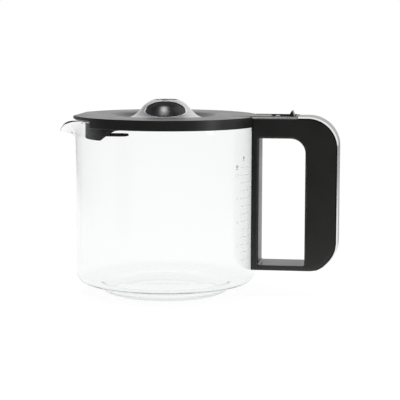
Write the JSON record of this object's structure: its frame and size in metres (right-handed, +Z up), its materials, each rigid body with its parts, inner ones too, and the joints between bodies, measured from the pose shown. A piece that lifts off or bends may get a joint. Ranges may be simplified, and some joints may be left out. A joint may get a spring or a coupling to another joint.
{
  "type": "coffee carafe",
  "caption": "Glass coffee carafe with a drawn spout, a black loop handle with silver trim, and a hinged black lid with a silver domed inlet that a thumb lever tips open.",
  "frame": {"origin": "middle of the jug's flat foot, on the jug's axis, at table height", "axes": "+Z up along the jug's axis, +X towards the handle, spout at -X"},
  "size_m": [0.2187, 0.1434, 0.1518],
  "materials": {
    "glass": "clear fire-polished glass",
    "bond": "matt silicone",
    "black_plastic": "satin moulded plastic",
    "gloss_black": "polished black plastic",
    "silver_trim": "satin silver",
    "silver_dome": "satin silver plated plastic",
    "steel": "drawn steel"
  },
  "bodies": {
    "jug": {"glass_jug": "glass", "bond_pad": "bond", "handle_body": "black_plastic", "handle_trim": "silver_trim", "lid_hinge_pin": "steel", "lever_pin": "steel", "lever_spring": "steel"},
    "lid": {"lid_plate": "black_plastic", "lid_insert": "black_plastic", "dome_shell": "silver_dome", "dome_core": "gloss_black", "neck_ring": "black_plastic"},
    "thumb_lever": {"thumb_lever": "black_plastic"}
  },
  "joints": [
    {"name": "lid_hinge", "type": "hinge", "parent": "jug", "child": "lid", "pos_m": [0.0804, 0, 0.1375], "axis": [0, 1, 0], "range_deg": [0, 84]},
    {"name": "lever_hinge", "type": "hinge", "parent": "jug", "child": "thumb_lever", "pos_m": [0.0896, 0, 0.135], "axis": [0, 1, 0], "range_deg": [0, 21], "stiffness_Nm_per_rad": 0.02, "deforming": ["lever_spring"]}
  ],
  "couplings": [
    {"joint": "lever_hinge", "follows": "lid_hinge", "ratio": 0.25}
  ]
}
